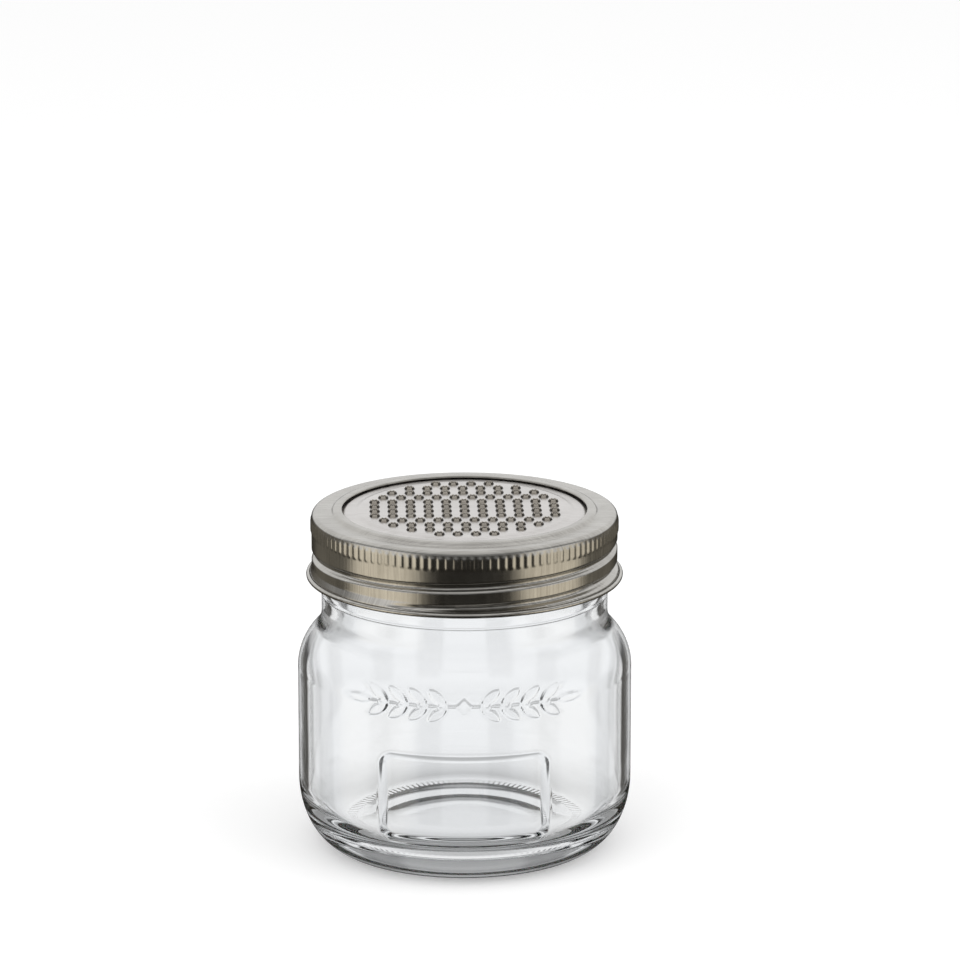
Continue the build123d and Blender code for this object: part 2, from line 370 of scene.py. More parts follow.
@dataclass(frozen=True)
class PressedFlintGlass:
    """Soda-lime flint glass, pressed and blown in a mould and fire polished.

    Clear with a faint cool cast that only the thick base shows. The mould leaves a slow waviness
    that bends the lines seen through it, and fine ticks under the base that glint.
    """

    tint: str = "#FAFBFC"
    depth_tint: str = "#DADDDF"
    depth_density: float = 6.0
    ior: float = 1.52
    wave_size_mm: float = 14.0
    wave_height_mm: float = 0.05
    wave_strength: float = 0.35
    wave_twist: float = 0.8
    tick_angle_deg: float = 3.0
    tick_height_mm: float = 0.05
    tick_strength: float = 0.5
    # The ticks end this high above the table.
    tick_top_mm: float = 0.6

    def make(self, ring: Point) -> bpy.types.Material:
        """Makes the glass.

        Args:
            ring: the middle radius and width in mm of the stippled ring under the base.

        Returns:
            The material.
        """
        material = empty_material("pressed_flint_glass")
        tree = material.node_tree
        place = add_node(tree, "ShaderNodeTexCoord", {}, {})
        wave = add_node(
            tree,
            "ShaderNodeTexNoise",
            {
                "Scale": 1 / (self.wave_size_mm * MM),
                "Detail": 1.0,
                "Distortion": self.wave_twist,
            },
            {"Vector": place.outputs["Object"]},
        )
        waviness = add_node(
            tree,
            "ShaderNodeBump",
            {"Strength": self.wave_strength, "Distance": self.wave_height_mm * MM},
            {"Height": wave.outputs[0]},
        )
        ticks = self._ticks(tree, place, ring)
        stipple = add_node(
            tree,
            "ShaderNodeBump",
            {"Strength": self.tick_strength, "Distance": self.tick_height_mm * MM},
            {"Height": ticks, "Normal": waviness.outputs[0]},
        )
        shader = add_node(
            tree,
            "ShaderNodeBsdfPrincipled",
            {
                "Base Color": linear(self.tint),
                "Roughness": 0.0,
                "IOR": self.ior,
                "Transmission Weight": 1.0,
            },
            {"Normal": stipple.outputs[0]},
        )
        depth = add_node(
            tree,
            "ShaderNodeVolumeAbsorption",
            {"Color": linear(self.depth_tint), "Density": self.depth_density},
            {},
        )
        add_node(
            tree,
            "ShaderNodeOutputMaterial",
            {},
            {"Surface": shader.outputs[0], "Volume": depth.outputs[0]},
        )
        return material

    def _ticks(
        self, tree: bpy.types.NodeTree, place: bpy.types.Node, ring: Point
    ) -> bpy.types.NodeSocket:
        """Draws the short radial ticks on which the base stands.

        Args:
            tree: the material's node tree.
            place: its texture coordinates.
            ring: the middle radius and width of the ring in mm.

        Returns:
            The socket with the ticks' height.
        """
        axes = add_node(tree, "ShaderNodeSeparateXYZ", {}, {0: place.outputs["Object"]})
        turn = add_node(
            tree,
            "ShaderNodeMath",
            {"operation": "ARCTAN2"},
            {0: axes.outputs[1], 1: axes.outputs[0]},
        )
        count = add_node(
            tree,
            "ShaderNodeMath",
            {"operation": "MULTIPLY", 1: 360 / self.tick_angle_deg},
            {0: turn.outputs[0]},
        )
        comb = add_node(tree, "ShaderNodeMath", {"operation": "SINE"}, {0: count.outputs[0]})
        flat = add_node(
            tree, "ShaderNodeCombineXYZ", {}, {0: axes.outputs[0], 1: axes.outputs[1]}
        )
        radius = add_node(
            tree, "ShaderNodeVectorMath", {"operation": "LENGTH"}, {0: flat.outputs[0]}
        )
        away = add_node(
            tree,
            "ShaderNodeMath",
            {"operation": "COMPARE", 1: ring[0] * MM, 2: ring[1] / 2 * MM},
            {0: radius.outputs["Value"]},
        )
        low = add_node(
            tree,
            "ShaderNodeMath",
            {"operation": "LESS_THAN", 1: self.tick_top_mm * MM},
            {0: axes.outputs[2]},
        )
        on_ring = add_node(
            tree,
            "ShaderNodeMath",
            {"operation": "MULTIPLY"},
            {0: away.outputs[0], 1: low.outputs[0]},
        )
        height = add_node(
            tree,
            "ShaderNodeMath",
            {"operation": "MULTIPLY"},
            {0: comb.outputs[0], 1: on_ring.outputs[0]},
        )
        return height.outputs[0]


@dataclass(frozen=True)
class RolledSheet:
    """Thin steel sheet with the straight grain of the rolling mill, pressed without polishing.

    The grain runs one way across the flat top and down the walls, and spreads reflections into
    soft bands. It is drawn coarser than the real one, which is too fine to show.
    """

    name: str
    light: str
    dark: str
    roughness: float
    grain_mm: float = 0.35
    grain_length_mm: float = 14.0
    grain_turn_deg: float = 24.0
    blotch_mm: float = 7.0
    relief_mm: float = 0.006
    relief_strength: float = 0.5
    # The shade is the grain and the blotches, each times its share, and the lift.
    grain_share: float = 0.55
    blotch_share: float = 0.35
    lift: float = 0.22
    dark_at: float = 0.42
    light_at: float = 0.86
    # The roughness changes by these from the darkest shade to the lightest.
    gloss_swing: Point = (-0.05, 0.06)

    def make(self) -> bpy.types.Material:
        """Makes the sheet metal.

        Returns:
            The material.
        """
        material = empty_material(self.name)
        tree = material.node_tree
        place = add_node(tree, "ShaderNodeTexCoord", {}, {})
        turned = add_node(
            tree,
            "ShaderNodeMapping",
            {
                "Rotation": (0, 0, math.radians(self.grain_turn_deg)),
                "Scale": (
                    1 / (self.grain_length_mm * MM),
                    1 / (self.grain_mm * MM),
                    1 / (self.grain_length_mm * MM),
                ),
            },
            {"Vector": place.outputs["Object"]},
        )
        grain = add_node(
            tree,
            "ShaderNodeTexNoise",
            {"Scale": 1.0, "Detail": 3.0, "Roughness": 0.6},
            {"Vector": turned.outputs[0]},
        )
        blotches = add_node(
            tree,
            "ShaderNodeTexNoise",
            {"Scale": 1 / (self.blotch_mm * MM), "Detail": 3.0},
            {"Vector": place.outputs["Object"]},
        )
        both = add_node(
            tree,
            "ShaderNodeMath",
            {"operation": "MULTIPLY_ADD", 1: self.grain_share, 2: self.lift},
            {0: grain.outputs[0]},
        )
        shade = add_node(
            tree,
            "ShaderNodeMath",
            {"operation": "MULTIPLY_ADD", 1: self.blotch_share},
            {0: blotches.outputs[0], 2: both.outputs[0]},
        )
        colour = add_node(tree, "ShaderNodeValToRGB", {}, {0: shade.outputs[0]})
        ramp_stops(
            colour, [(self.dark_at, linear(self.dark)), (self.light_at, linear(self.light))]
        )
        gloss = add_node(
            tree,
            "ShaderNodeMapRange",
            {
                "To Min": self.roughness + self.gloss_swing[0],
                "To Max": self.roughness + self.gloss_swing[1],
            },
            {"Value": shade.outputs[0]},
        )
        relief = add_node(
            tree,
            "ShaderNodeBump",
            {"Strength": self.relief_strength, "Distance": self.relief_mm * MM},
            {"Height": grain.outputs[0]},
        )
        shader = add_node(
            tree,
            "ShaderNodeBsdfPrincipled",
            {"Metallic": 1.0},
            {
                "Base Color": colour.outputs[0],
                "Roughness": gloss.outputs[0],
                "Normal": relief.outputs[0],
            },
        )
        add_node(tree, "ShaderNodeOutputMaterial", {}, {"Surface": shader.outputs[0]})
        return material


@dataclass(frozen=True)
class MouldedSilicone:
    """Compression-moulded white silicone: soft matt sheen, slightly cloudy, light in its edges."""

    colour: str = "#E6E5DF"
    shade: str = "#D8D6CE"
    shade_at: float = 0.35
    colour_at: float = 0.65
    cloud_mm: float = 2.5
    relief_mm: float = 0.03
    relief_strength: float = 0.3
    roughness: float = 0.52
    ior: float = 1.41
    glow_weight: float = 0.2

    def make(self) -> bpy.types.Material:
        """Makes the silicone.

        Returns:
            The material.
        """
        material = empty_material("moulded_white_silicone")
        tree = material.node_tree
        place = add_node(tree, "ShaderNodeTexCoord", {}, {})
        cloud = add_node(
            tree,
            "ShaderNodeTexNoise",
            {"Scale": 1 / (self.cloud_mm * MM), "Detail": 4.0},
            {"Vector": place.outputs["Object"]},
        )
        colour = add_node(tree, "ShaderNodeValToRGB", {}, {0: cloud.outputs[0]})
        ramp_stops(
            colour, [(self.shade_at, linear(self.shade)), (self.colour_at, linear(self.colour))]
        )
        relief = add_node(
            tree,
            "ShaderNodeBump",
            {"Strength": self.relief_strength, "Distance": self.relief_mm * MM},
            {"Height": cloud.outputs[0]},
        )
        shader = add_node(
            tree,
            "ShaderNodeBsdfPrincipled",
            {
                "Roughness": self.roughness,
                "IOR": self.ior,
                "Subsurface Weight": self.glow_weight,
                "Subsurface Scale": MM,
            },
            {"Base Color": colour.outputs[0], "Normal": relief.outputs[0]},
        )
        add_node(tree, "ShaderNodeOutputMaterial", {}, {"Surface": shader.outputs[0]})
        return material


@dataclass
class GlassJar:
    """The one-piece glass: heel, sunk panel, sprigs, shoulder, thread, rim and base, in mm."""

    body_radius: float = 40.0
    body_wall: float = 2.5
    wall_top: float = 43.7
    heel_reach: float = 10.8
    heel_height: float = 16.6
    shoulder_radius: float = 13.8
    neck_blend: float = 6.2
    floor_thickness: float = 6.5
    floor_corner: float = 9.5
    bearing_width: float = 2.7
    push_up: float = 1.8
    push_up_flat: float = 8.0
    neck_radius: float = 34.2
    mouth_radius: float = 30.4
    rim_height: float = 80.1
    rim_rounding: float = 0.9
    # The mould's seam round the neck is a low ridge, drawn at these stations across it.
    seam_height: float = 62.5
    seam_relief: float = 0.25
    seam_half: float = 0.5
    seam_stations: tuple[float, ...] = (-0.4, -0.25, -0.12, 0, 0.12, 0.25, 0.4)
    seam_margin: float = 0.6
    panel_half_width: float = 20.25
    panel_bottom: float = 11.0
    panel_top: float = 33.5
    panel_top_corner: float = 3.6
    panel_low_corner: float = 3.8
    panel_depth: float = 0.9
    # The panel is shallower at its sides: this share of its depth, and so much more in the middle.
    panel_side_share: float = 0.64
    panel_bow_share: float = 0.56
    panel_ledge: float = 1.8
    # The low raised edge round the panel: its height, how far in it lies and its half width.
    panel_edge: float = 0.16
    panel_edge_inset: float = 0.3
    panel_edge_half: float = 0.5
    sprig_height: float = 45.4
    sprig_relief: float = 0.45
    sprig_edge: float = 0.45
    stem_length: float = 21.0
    stem_width: float = 0.8
    leaf_length: float = 6.2
    leaf_width: float = 2.6
    leaf_pitch: float = 4.6
    leaf_pairs: int = 4
    leaf_tilt_deg: float = 38.0
    diamond_width: float = 4.4
    # The height at which the thread's bead passes the front.
    bead_front: float = 69.615
    bead_relief: float = 1.5
    bead_root_half: float = 1.25
    bead_crest_half: float = 0.45
    bead_turns: float = 1.5
    bead_fade_deg: float = 30.0
    # The front, with the panel and the sprigs, has finer steps than the rest.
    fine_sector_deg: float = 68.0
    fine_step: float = 0.33
    coarse_turn_deg: float = 2.5
    # The longest distance between two points on each other stretch of the profile.
    flat_step: float = 3.0
    push_up_step: float = 2.0
    bearing_step: float = 0.9
    low_heel_step: float = 0.8
    low_heel_end_deg: float = -62.0
    shoulder_step: float = 0.4
    neck_step: float = 0.8
    thread_step: float = 0.42
    rim_step: float = 0.25
    rim_top_step: float = 1.2
    inner_wall_step: float = 2.5
    inner_curve_step: float = 0.7
    # A point whose outward direction leans this far from the axis lies on the outer face.
    outward_lean: float = 0.05
    smooth_deg: float = 60.0
    thread: Thread = Thread()

    def build(self) -> bpy.types.Object:
        """Turns the glass and presses its panel, sprigs, seam and thread into it.

        Returns:
            The glass.
        """
        fine = math.radians(self.fine_sector_deg)
        fine_steps = round(fine * self.body_radius / self.fine_step)
        rest = FULL_TURN - fine
        rest_steps = round(rest / math.radians(self.coarse_turn_deg))
        sectors = [(fine, fine_steps), (rest, rest_steps)]
        piece = turn_outline("jar_glass", self._outline(), sectors, FRONT - fine / 2)
        places = points_of(piece) / MM
        out = normals_of(piece)
        radius = np.hypot(places[:, 0], places[:, 1])
        lean = out[:, 0] * places[:, 0] + out[:, 1] * places[:, 1]
        outward = lean > self.outward_lean * radius
        move = self._panel(places) + self._sprig(places)
        move[~outward | (places[:, 1] > 0)] = 0
        places += out * move[:, None]
        radial = self._thread_relief(places)
        radial[~outward] = 0
        places[:, :2] *= (1 + radial / np.maximum(radius, 1))[:, None]
        move_points(piece, places * MM)
        shade_by_angle(piece, self.smooth_deg)
        return piece

    def dress(self, piece: bpy.types.Object) -> None:
        """Gives the glass its finish."""
        ring = (self.body_radius - self.heel_reach - self.bearing_width / 2, self.bearing_width)
        piece.data.materials.append(PressedFlintGlass().make(ring))

    def _outline(self) -> list[Point]:
        """Draws the closed profile from the pushed-up base over the rim to the inner floor.

        Returns:
            The profile's points.
        """
        bearing = self.body_radius - self.heel_reach - self.bearing_width
        heel = self.body_radius - self.heel_reach
        curved = bearing - self.push_up_flat
        bow = (curved**2 + self.push_up**2) / (2 * self.push_up)
        low = math.degrees(math.asin(curved / bow))
        line = Outline((0, self.push_up)).run((self.push_up_flat, self.push_up), self.flat_step)
        middle = (self.push_up_flat, self.push_up - bow)
        line.arc(middle, (bow, bow), (90, 90 - low), self.push_up_step)
        line.run((heel, 0), self.bearing_step)
        middle = (heel, self.heel_height)
        reach = (self.heel_reach, self.heel_height)
        line.arc(middle, reach, (-90, self.low_heel_end_deg), self.low_heel_step)
        line.arc(middle, reach, (self.low_heel_end_deg, 0), self.fine_step)
        line.run((self.body_radius, self.wall_top), self.fine_step)
        line.shoulder(
            self.wall_top,
            (self.body_radius, self.shoulder_radius, self.neck_blend, self.neck_radius),
            self.shoulder_step,
        )
        line.run((self.neck_radius, self.seam_height - self.seam_margin), self.neck_step)
        for away in self.seam_stations:
            rise = self.seam_relief * math.cos(away / self.seam_half * math.pi / 2) ** 2
            line.run((self.neck_radius + rise, self.seam_height + away), self.neck_step)
        line.run((self.neck_radius, self.seam_height + self.seam_margin), self.neck_step)
        line.run((self.neck_radius, self.rim_height - self.rim_rounding), self.thread_step)
        outer = self.neck_radius - self.rim_rounding
        inner = self.mouth_radius + self.rim_rounding
        edge = (self.rim_rounding, self.rim_rounding)
        line.arc((outer, self.rim_height - self.rim_rounding), edge, (0, 90), self.rim_step)
        line.run((inner, self.rim_height), self.rim_top_step)
        line.arc((inner, self.rim_height - self.rim_rounding), edge, (90, 180), self.rim_step)
        wall = self.body_radius - self.body_wall
        inside = Outline((wall, self.wall_top)).shoulder(
            self.wall_top,
            (
                wall,
                self.shoulder_radius - self.body_wall,
                self.neck_blend + self.body_wall,
                self.mouth_radius,
            ),
            self.inner_curve_step,
        )
        line.run(inside.points[-1], self.flat_step)
        line.points += inside.points[-2::-1]
        corner = wall - self.floor_corner
        line.run((wall, self.floor_thickness + self.floor_corner), self.inner_wall_step)
        line.arc(
            (corner, self.floor_thickness + self.floor_corner),
            (self.floor_corner, self.floor_corner),
            (0, -90),
            self.inner_curve_step,
        )
        return line.run((0, self.floor_thickness), self.flat_step).points

    def _panel(self, places: np.ndarray) -> np.ndarray:
        """Works out the sunk panel.

        Args:
            places: the glass's points in mm.

        Returns:
            How far each point moves outwards; the panel's own moves are below zero.
        """
        middle = (self.panel_top + self.panel_bottom) / 2
        high = places[:, 2] > middle
        corner = np.where(high, self.panel_top_corner, self.panel_low_corner)
        across = np.abs(places[:, 0]) - self.panel_half_width + corner
        along = np.abs(places[:, 2] - middle) - (self.panel_top - middle) + corner
        beyond = np.hypot(np.maximum(across, 0), np.maximum(along, 0))
        away = beyond + np.minimum(np.maximum(across, along), 0) - corner
        middle_share = 1 - (places[:, 0] / self.panel_half_width) ** 2
        bow = self.panel_side_share + self.panel_bow_share * middle_share
        ridge = 1 - np.abs(away + self.panel_edge_inset) / self.panel_edge_half
        sunk = self.panel_depth * bow * np.clip(-away / self.panel_ledge, 0, 1)
        return self.panel_edge * smooth_share(ridge) - sunk

    def _sprig(self, places: np.ndarray) -> np.ndarray:
        """Works out the relief of two leafy sprigs either side of a diamond.

        Args:
            places: the glass's points in mm.

        Returns:
            How far each point moves outwards.
        """
        across = np.abs(places[:, 0]) - self.diamond_width / 4
        up = places[:, 2] - self.sprig_height
        stem = np.maximum(
            np.abs(across - self.stem_length / 2) - self.stem_length / 2,
            np.abs(up) - self.stem_width / 2,
        )
        diamond = (np.abs(places[:, 0]) + np.abs(up) - self.diamond_width / 2) / math.sqrt(2)
        away = np.minimum(stem, diamond)
        away = np.minimum(away, self._leaf(across - self.stem_length + self.stem_width, up, 0))
        first = self.stem_length - self.leaf_pairs * self.leaf_pitch
        for index in range(self.leaf_pairs):
            for side in (-1, 1):
                tilt = math.radians(side * self.leaf_tilt_deg)
                along = across - first - index * self.leaf_pitch
                away = np.minimum(away, self._leaf(along, up, tilt))
        return self.sprig_relief * smooth_share(-away / self.sprig_edge)

    def _leaf(self, across: np.ndarray, up: np.ndarray, tilt: float) -> np.ndarray:
        """Measures how far points lie outside a pointed leaf that grows from the origin.

        Args:
            across: the points' distances from the leaf's foot, sideways.
            up: the same, upwards.
            tilt: the leaf's angle in radians.

        Returns:
            The distances in mm, below zero inside the leaf.
        """
        along = across * math.cos(tilt) + up * math.sin(tilt) - self.leaf_length / 2
        side = up * math.cos(tilt) - across * math.sin(tilt)
        bow = (self.leaf_length**2 / 4 + self.leaf_width**2 / 4) / self.leaf_width
        return np.hypot(along, np.abs(side) + bow - self.leaf_width / 2) - bow

    def _thread_relief(self, places: np.ndarray) -> np.ndarray:
        """Works out the thread's bead.

        Args:
            places: the glass's points in mm.

        Returns:
            How far each point moves away from the axis.
        """
        angles = np.degrees(np.arctan2(places[:, 1], places[:, 0]))
        reach = (FRONT_DEG, FRONT_DEG + 360 * self.bead_turns)
        away, share = self.thread.offset(
            angles, places[:, 2], self.bead_front, reach, self.bead_fade_deg
        )
        flank = self.bead_root_half - self.bead_crest_half
        form = smooth_share((self.bead_root_half - np.abs(away)) / flank)
        return self.bead_relief * share * form


@dataclass
class ScrewBand:
    """The rolled sheet band: folded lip, stepped top, knurl, thread groove and curl, in mm."""

    radius: float = 36.5
    sheet: float = 0.3
    top: float = 81.8
    shoulder: float = 1.2
    lip_radius: float = 29.2
    lip_rise: float = 0.8
    lip_reach: float = 1.4
    step_radius: float = 31.9
    step_run: float = 0.75
    # The step in the top starts to bend this far inside it, and is level so far before that.
    step_bend: float = 0.1
    step_level: float = 0.3
    step_shares: tuple[float, ...] = (0.25, 0.5, 0.75, 1)
    flutes: int = 122
    steps_per_flute: int = 4
    flute_depth: float = 0.25
    flute_top: float = 80.5
    flute_top_fade: float = 0.5
    flute_bottom: float = 77.1
    flute_bottom_fade: float = 0.4
    flute_margin: float = 0.3
    flare_top: float = 69.0
    flare_reach: float = 0.45
    # The flare ends this far above the middle of the curl.
    flare_end: float = 0.75
    curl_radius: float = 0.6
    curl_height: float = 66.6
    curl_turn_deg: Point = (180, 470)
    # The height at which the thread's groove passes the front.
    groove_front: float = 67.92
    groove_depth: float = 1.05
    groove_mouth: float = 1.25
    groove_floor: float = 0.25
    groove_reach_deg: Point = (-120.0, 400.0)
    groove_fade_deg: float = 30.0
    groove_end_fade: float = 0.5
    # The sheet is drawn this much thinner, so that the folded lip doesn't touch itself.
    fold_gap: float = 0.02
    # Flutes and groove reach this far inside the wall's radius and outside the flare's.
    wall_margin: Point = (0.7, 0.05)
    # Only the wall lies between these heights.
    plain_wall: Point = (72.0, 76.0)
    # The longest distance between two points on each stretch of the profile.
    flat_step: float = 0.6
    rise_step: float = 1.0
    top_step: float = 1.2
    fold_step: float = 0.16
    shoulder_step: float = 0.22
    flute_step: float = 0.42
    wall_step: float = 0.27
    curl_start_step: float = 0.4
    curl_step: float = 0.14
    smooth_deg: float = 50.0
    thread: Thread = Thread()

    def build(self) -> bpy.types.Object:
        """Rolls the band from one sheet and gives the sheet its thickness.

        Returns:
            The band.
        """
        steps = self.flutes * self.steps_per_flute
        piece = turn_outline("band_sheet", self._outline(), [(FULL_TURN, steps)], FRONT)
        places = points_of(piece) / MM
        if self._faces_inward(piece):
            select_only(piece)
            bpy.ops.object.mode_set(mode="EDIT")
            bpy.ops.mesh.select_all(action="SELECT")
            bpy.ops.mesh.flip_normals()
            bpy.ops.object.mode_set(mode="OBJECT")
        radius = np.hypot(places[:, 0], places[:, 1])
        angles = np.arctan2(places[:, 1], places[:, 0])
        move = self._flutes(angles, places[:, 2]) - self._groove(angles, places[:, 2])
        inner = self.radius - self.wall_margin[0]
        outer = self.radius + self.flare_reach + self.wall_margin[1]
        move[(radius <= inner) | (radius >= outer)] = 0
        places[:, :2] *= (1 + move / radius)[:, None]
        move_points(piece, places * MM)
        thickness = (self.sheet - self.fold_gap) * MM
        apply_modifier(
            piece, "SOLIDIFY", {"thickness": thickness, "offset": -1, "use_even_offset": True}
        )
        shade_by_angle(piece, self.smooth_deg)
        return piece

    def dress(self, piece: bpy.types.Object) -> None:
        """Gives the band its finish: warm grey tinned steel."""
        finish = RolledSheet("rolled_tinned_steel", "#C6C4BF", "#94918C", 0.21)
        piece.data.materials.append(finish.make())

    def _faces_inward(self, piece: bpy.types.Object) -> bool:
        """Tells whether the turned sheet is inside out.

        Args:
            piece: the band before it gets its thickness.

        Returns:
            True where the wall's outward directions point to the axis.
        """
        places = points_of(piece) / MM
        out = normals_of(piece)
        wall = (places[:, 2] > self.plain_wall[0]) & (places[:, 2] < self.plain_wall[1])
        dots = (out[wall, :2] * places[wall, :2]).sum(axis=1)
        return float(dots.mean()) < 0

    def _outline(self) -> list[Point]:
        """Draws the sheet's outer face from the folded lip to the end of the curl.

        Returns:
            The profile's points.
        """
        fold = self.sheet
        lip_top = self.top + self.lip_rise
        line = Outline((self.lip_radius + self.lip_reach, lip_top - 2 * fold))
        line.run((self.lip_radius + fold, lip_top - 2 * fold), self.flat_step)
        line.arc(
            (self.lip_radius + fold, lip_top - fold), (fold, fold), (270, 90), self.fold_step
        )
        inner = self.step_radius - self.step_run
        line.run((inner - self.step_level, lip_top), self.flat_step)
        for share in self.step_shares:
            drop = float(smooth_share(np.array(share))) * self.lip_rise
            across = inner - self.step_bend + share * (self.step_run + self.step_bend)
            line.run((across, lip_top - drop), self.rise_step)
        line.run((self.radius - self.shoulder, self.top), self.top_step)
        line.arc(
            (self.radius - self.shoulder, self.top - self.shoulder),
            (self.shoulder, self.shoulder),
            (90, 0),
            self.shoulder_step,
        )
        line.run((self.radius, self.flute_bottom - self.flute_margin), self.flute_step)
        line.run((self.radius, self.flare_top), self.wall_step)
        flare = self.radius + self.flare_reach
        line.run((flare, self.curl_height + self.flare_end), self.wall_step)
        line.run((flare, self.curl_height), self.curl_start_step)
        bend = self.curl_radius - self.sheet
        centre = (flare + bend, self.curl_height)
        line.arc(centre, (bend, bend), self.curl_turn_deg, self.curl_step)
        return line.points

    def _flutes(self, angles: np.ndarray, heights: np.ndarray) -> np.ndarray:
        """Works out the knurled belt.

        Args:
            angles: the points' angles in radians.
            heights: their heights in mm.

        Returns:
            How far each point moves away from the axis.
        """
        crest = 0.5 + 0.5 * np.cos(self.flutes * (angles - FRONT))
        low = smooth_share((heights - self.flute_bottom) / self.flute_bottom_fade)
        high = smooth_share((self.flute_top - heights) / self.flute_top_fade)
        return self.flute_depth * crest * low * high

    def _groove(self, angles: np.ndarray, heights: np.ndarray) -> np.ndarray:
        """Works out the rolled thread.

        Args:
            angles: the points' angles in radians.
            heights: their heights in mm.

        Returns:
            How far each point moves towards the axis.
        """
        away, share = self.thread.offset(
            np.degrees(angles),
            heights,
            self.groove_front,
            self.groove_reach_deg,
            self.groove_fade_deg,
        )
        flank = self.groove_mouth - self.groove_floor
        form = smooth_share((self.groove_mouth - np.abs(away)) / flank)
        clear = smooth_share((heights - self.curl_height - self.flare_end) / self.groove_end_fade)
        return self.groove_depth * share * form * clear


@dataclass
class GraterDisc:
    """The punched disc: flange, raised panel, plateau and its field of torn burrs, in mm."""

    radius: float = 34.9
    flange_top: float = 81.5
    thickness: float = 0.4
    panel_rise: float = 0.4
    step_outer: float = 29.0
    step_run: float = 0.6
    plateau_radius: float = 25.3
    plateau_rise: float = 0.35
    plateau_run: float = 0.9
    # Each pressed bend is eased by points so far before or beside it and so far off its level.
    plateau_bend: Point = (0.3, 0.04)
    panel_bend: Point = (0.3, 0.03)
    step_top_bend: Triple = (0.2, 0.1, 0.05)
    step_foot_bend: Triple = (0.1, 0.2, 0.05)
    bend_step: float = 1.0
    plateau_step: float = 0.4
    flat_step: float = 2.0
    steps_around: int = 180
    pitch: float = 4.28
    row_pitch: float = 4.11
    rows: int = 12
    field_radius: float = 23.6
    # The whole field of holes is turned this far from the front.
    turn_deg: float = 1.6
    hole_radius: float = 0.98
    burr_root: float = 1.32
    burr_crest: float = 0.9
    burr_mouth: float = 0.7
    burr_height: float = 0.6
    burr_sink: float = 0.05
    burr_bulge: float = 0.06
    # The levels of the burr's bulge, mouth and crest as shares of its height.
    burr_levels: Triple = (0.4, 0.8, 0.86)
    # The burr's lining starts this far outside the hole's wall.
    lining_gap: float = 0.02
    teeth: int = 6
    tooth_share: float = 0.14
    # Points above this share of the burr's height belong to its teeth.
    tooth_foot: float = 0.7
    # The painted shade on each side of a burr, where its arch is torn open: half its angle, and
    # its top as a share of the height.
    painted_shade_half_deg: float = 50.0
    painted_shade_top: float = 0.75
    smooth_deg: float = 35.0

    @property
    def plateau_top(self) -> float:
        """The height of the plateau that holds the holes."""
        return self.flange_top + self.panel_rise + self.plateau_rise

    def build(self) -> tuple[bpy.types.Object, bpy.types.Object]:
        """Presses the disc, punches its holes and raises a torn burr round each.

        Returns:
            The sheet and its burrs.
        """
        sectors = [(FULL_TURN, self.steps_around)]
        piece = turn_outline("grater_sheet", self._outline(), sectors, 0)
        self._fill_middle(piece)
        places = self._places()
        cutters = self._rings("hole_cutters", self._cutter(), places)
        apply_modifier(
            piece, "BOOLEAN", {"operation": "DIFFERENCE", "object": cutters, "solver": "EXACT"}
        )
        bpy.data.objects.remove(cutters)
        shade_by_angle(piece, self.smooth_deg)
        burrs = self._rings("grater_burrs", self._burr(), places)
        shade_by_angle(burrs, self.smooth_deg)
        return piece, burrs

    def dress(self, sheet: bpy.types.Object, burrs: bpy.types.Object) -> None:
        """Gives the sheet a satin finish and the torn burrs a browner, rougher one, darkened in
        part as painted shade; the burrs' two ends get a near-black painted shade.

        Args:
            sheet: the punched disc.
            burrs: its burrs.
        """
        satin = RolledSheet(
            "rolled_satin_stainless", "#DAD7D5", "#BAB7B4", 0.27, grain_turn_deg=-12.0
        )
        # The burrs' colours are darker than the disc's. Part of this is the duller torn steel, and
        # part is painted shade for the dark room that their sloping flanks mirror.
        torn = RolledSheet(
            "torn_stainless_with_painted_shade", "#BBB5AB", "#968F86", 0.4, grain_mm=0.2, grain_length_mm=1.0
        )
        sheet.data.materials.append(satin.make())
        burrs.data.materials.append(torn.make())
        # Painted shade: a near-black dull steel colour on both ends of each burr stands for the
        # shade in the gaps where its arch is torn open.
        painted_shade = RolledSheet(
            "painted_shade_burr_ends", "#4A4641", "#35322E", 0.5, grain_mm=0.2, grain_length_mm=1.0
        )
        burrs.data.materials.append(painted_shade.make())
        self._paint_shaded_ends(burrs, self._places())

    def _outline(self) -> list[Point]:
        """Draws the disc's section from the plateau to its edge and back underneath.

        Returns:
            The profile's points.
        """
        panel = self.flange_top + self.panel_rise
        plateau = self.plateau_top
        beside, off = self.plateau_bend
        upper = Outline((self.plateau_radius - beside, plateau))
        upper.run((self.plateau_radius, plateau - off), self.bend_step)
        beside, off = self.panel_bend
        foot = self.plateau_radius + self.plateau_run
        upper.run((foot, panel + off), self.plateau_step)
        upper.run((foot + beside, panel), self.bend_step)
        before, after, off = self.step_top_bend
        edge = self.step_outer - self.step_run
        upper.run((edge - before, panel), self.flat_step)
        upper.run((edge + after, panel - off), self.bend_step)
        before, after, off = self.step_foot_bend
        upper.run((self.step_outer - before, self.flange_top + off), self.bend_step)
        upper.run((self.step_outer + after, self.flange_top), self.bend_step)
        upper.run((self.radius, self.flange_top), self.flat_step)
        lower = [(radius, height - self.thickness) for radius, height in reversed(upper.points)]
        return upper.points + lower

    def _fill_middle(self, piece: bpy.types.Object) -> None:
        """Closes the disc's two open rings with flat faces.

        Args:
            piece: the turned disc.
        """
        select_only(piece)
        bpy.ops.object.mode_set(mode="EDIT")
        bpy.ops.mesh.select_mode(type="EDGE")
        bpy.ops.mesh.select_all(action="DESELECT")
        bpy.ops.mesh.select_non_manifold()
        bpy.ops.mesh.fill_holes(sides=0)
        bpy.ops.mesh.select_all(action="SELECT")
        bpy.ops.mesh.normals_make_consistent(inside=False)
        bpy.ops.mesh.select_mode(type="VERT")
        bpy.ops.object.mode_set(mode="OBJECT")

